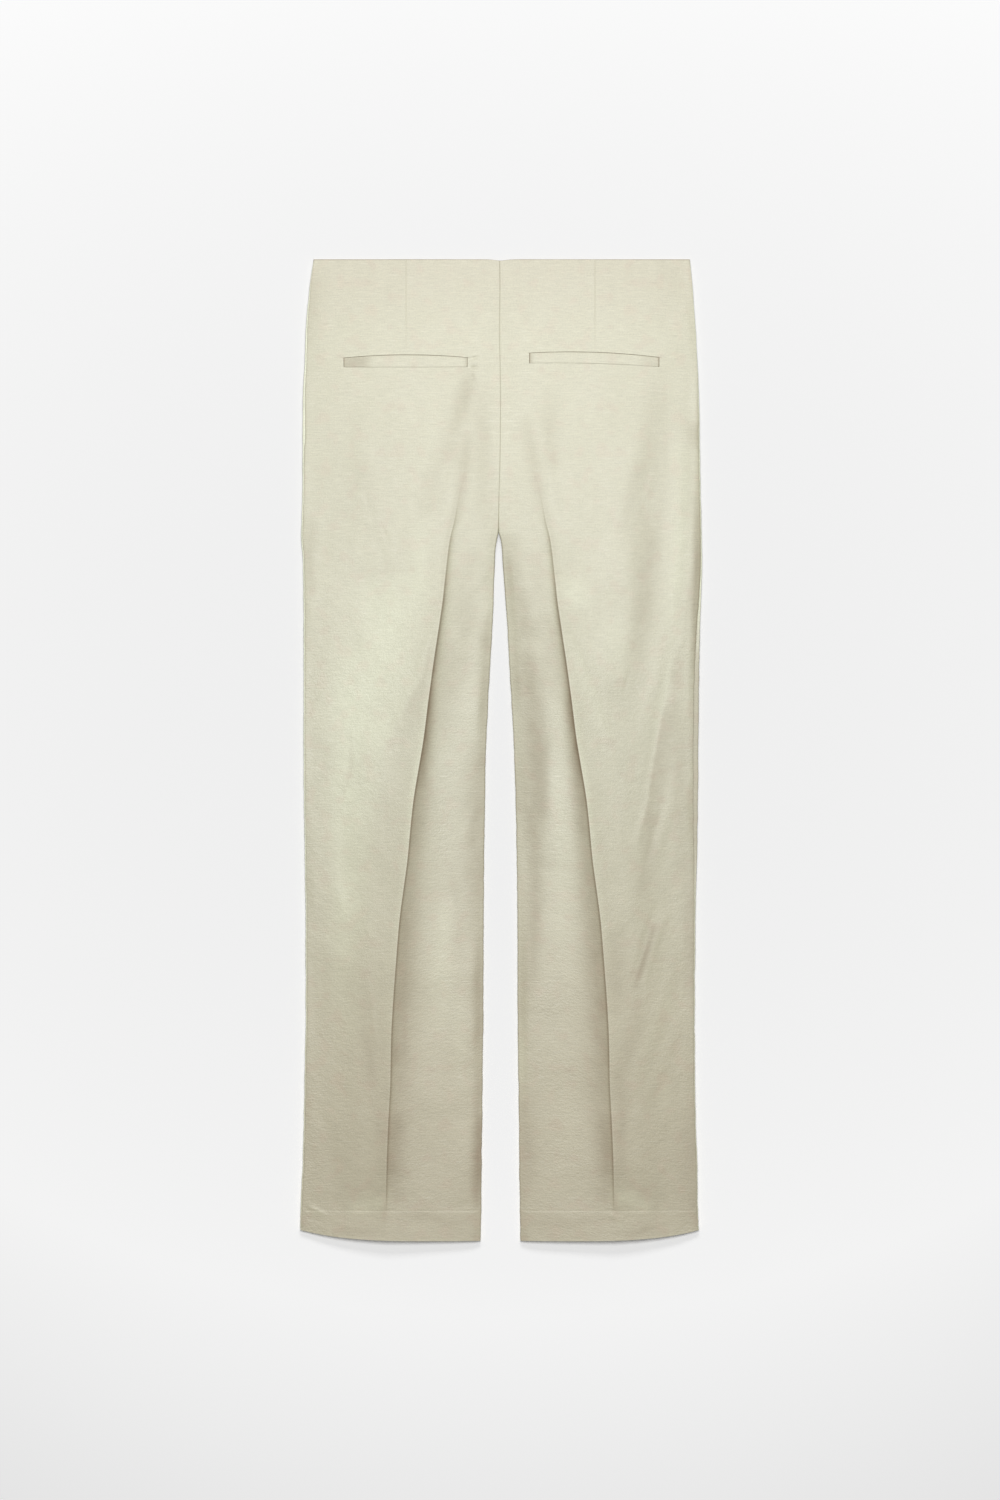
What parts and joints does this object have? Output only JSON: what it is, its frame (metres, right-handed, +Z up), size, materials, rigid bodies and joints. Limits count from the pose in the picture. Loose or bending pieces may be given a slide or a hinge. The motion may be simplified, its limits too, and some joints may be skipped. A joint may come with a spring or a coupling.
{
  "type": "straight-leg trousers laid flat, back up",
  "caption": "Long straight-leg trousers in satin-faced linen, laid flat with the back up, with pressed creases, back darts and welt pockets.",
  "frame": {"origin": "centre of the part's bounding box, on the surface that it lies on", "axes": "+X across the trousers to the wearer's right, +Y from the hems towards the waist, +Z up, away from the surface"},
  "size_m": [0.4223, 1.0321, 0.0158],
  "materials": {
    "cloth": "linen with a soft satin face",
    "welt": "linen with a soft satin face"
  },
  "bodies": {
    "root": {"back_panel_left": "cloth", "back_panel_right": "cloth", "front_panel_left": "cloth", "front_panel_right": "cloth", "pocket_welt_left": "welt", "pocket_welt_right": "welt"}
  },
  "joints": []
}
